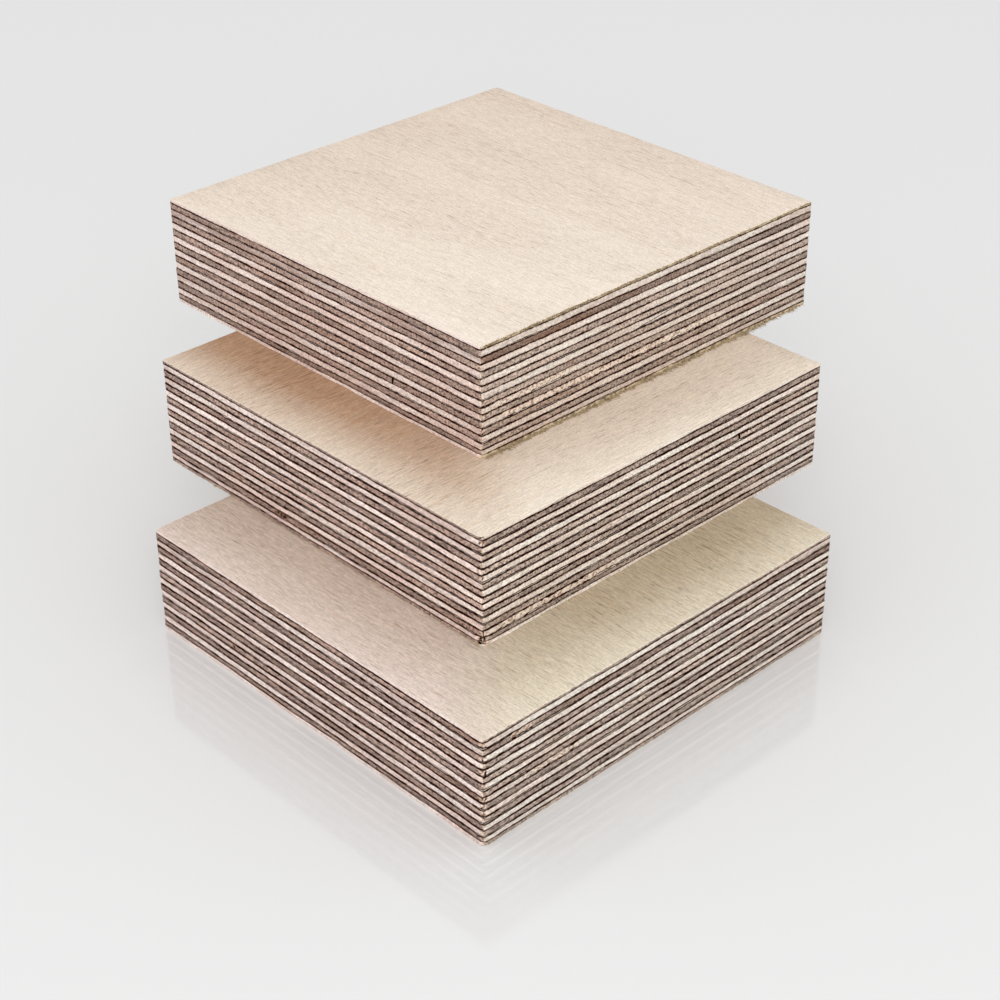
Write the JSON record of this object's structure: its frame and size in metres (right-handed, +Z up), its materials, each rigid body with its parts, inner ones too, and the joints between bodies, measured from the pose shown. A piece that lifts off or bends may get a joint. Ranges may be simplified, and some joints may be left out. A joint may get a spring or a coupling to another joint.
{
  "type": "stack of plywood boards",
  "caption": "Stepped stack of small square birch plywood boards, each glued up from cross-laid veneers and set back from the board below.",
  "frame": {"origin": "on the floor, under the middle of the whole stack's box", "axes": "+Z up through the boards; X and Y along the boards' sides, with every board stepping towards +X and +Y from the one below"},
  "size_m": [0.134, 0.136, 0.072],
  "materials": {
    "face_veneer": "sanded, unfinished birch",
    "core_veneer_grain_x": "sawn edge, unfinished birch",
    "core_veneer_grain_y": "sawn edge, unfinished birch"
  },
  "bodies": {
    "root": {"lower_board_bottom_face": "face_veneer", "lower_board_core_01": "core_veneer_grain_x", "lower_board_core_02": "core_veneer_grain_y", "lower_board_core_03": "core_veneer_grain_x", "lower_board_core_04": "core_veneer_grain_y", "lower_board_core_05": "core_veneer_grain_x", "lower_board_core_06": "core_veneer_grain_y", "lower_board_core_07": "core_veneer_grain_x", "lower_board_core_08": "core_veneer_grain_y", "lower_board_core_09": "core_veneer_grain_x", "lower_board_core_10": "core_veneer_grain_y", "lower_board_core_11": "core_veneer_grain_x", "lower_board_core_12": "core_veneer_grain_y", "lower_board_core_13": "core_veneer_grain_x", "lower_board_core_14": "core_veneer_grain_y", "lower_board_core_15": "core_veneer_grain_x", "lower_board_top_face": "face_veneer", "middle_board_bottom_face": "face_veneer", "middle_board_core_01": "core_veneer_grain_y", "middle_board_core_02": "core_veneer_grain_x", "middle_board_core_03": "core_veneer_grain_y", "middle_board_core_04": "core_veneer_grain_x", "middle_board_core_05": "core_veneer_grain_y", "middle_board_core_06": "core_veneer_grain_x", "middle_board_core_07": "core_veneer_grain_y", "middle_board_core_08": "core_veneer_grain_x", "middle_board_core_09": "core_veneer_grain_y", "middle_board_core_10": "core_veneer_grain_x", "middle_board_core_11": "core_veneer_grain_y", "middle_board_core_12": "core_veneer_grain_x", "middle_board_core_13": "core_veneer_grain_y", "middle_board_core_14": "core_veneer_grain_x", "middle_board_core_15": "core_veneer_grain_y", "middle_board_top_face": "face_veneer", "upper_board_bottom_face": "face_veneer", "upper_board_core_01": "core_veneer_grain_x", "upper_board_core_02": "core_veneer_grain_y", "upper_board_core_03": "core_veneer_grain_x", "upper_board_core_04": "core_veneer_grain_y", "upper_board_core_05": "core_veneer_grain_x", "upper_board_core_06": "core_veneer_grain_y", "upper_board_core_07": "core_veneer_grain_x", "upper_board_core_08": "core_veneer_grain_y", "upper_board_core_09": "core_veneer_grain_x", "upper_board_core_10": "core_veneer_grain_y", "upper_board_core_11": "core_veneer_grain_x", "upper_board_core_12": "core_veneer_grain_y", "upper_board_core_13": "core_veneer_grain_x", "upper_board_core_14": "core_veneer_grain_y", "upper_board_core_15": "core_veneer_grain_x", "upper_board_top_face": "face_veneer"}
  },
  "joints": []
}
